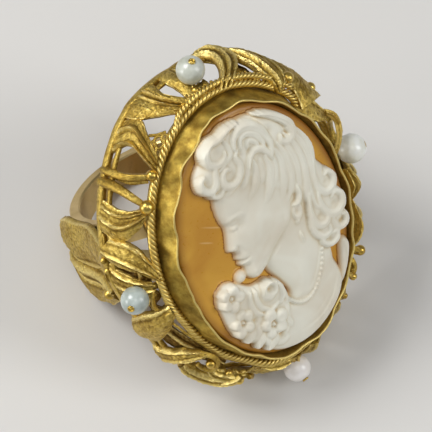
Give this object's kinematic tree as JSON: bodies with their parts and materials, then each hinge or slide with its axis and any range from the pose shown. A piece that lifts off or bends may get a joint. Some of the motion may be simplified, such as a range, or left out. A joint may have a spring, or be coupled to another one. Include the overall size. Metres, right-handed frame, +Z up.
{
  "type": "finger ring",
  "caption": "Gold finger ring lying on its side, with a large oval head of pierced leaves and twisted wire that holds a carved shell cameo, and pearls on pegs round it.",
  "frame": {"origin": "centre of the overall size seen from above, at the floor that the ring lies on", "axes": "+Z up from the floor, with the ring lying on its side on the edge of its band and the lower end of its oval head; the finger hole runs from the lower front (-Y) up to the back (+Y), and the cameo faces up and to the front"},
  "size_m": [0.0314, 0.031, 0.0306],
  "materials": {
    "gold": "polished",
    "shell": "satin",
    "pearl": "gloss"
  },
  "bodies": {
    "root": {"gold_mount": "gold", "cameo": "shell", "pearl_top": "pearl", "pearl_right": "pearl", "pearl_bottom": "pearl", "pearl_left": "pearl"}
  },
  "joints": []
}
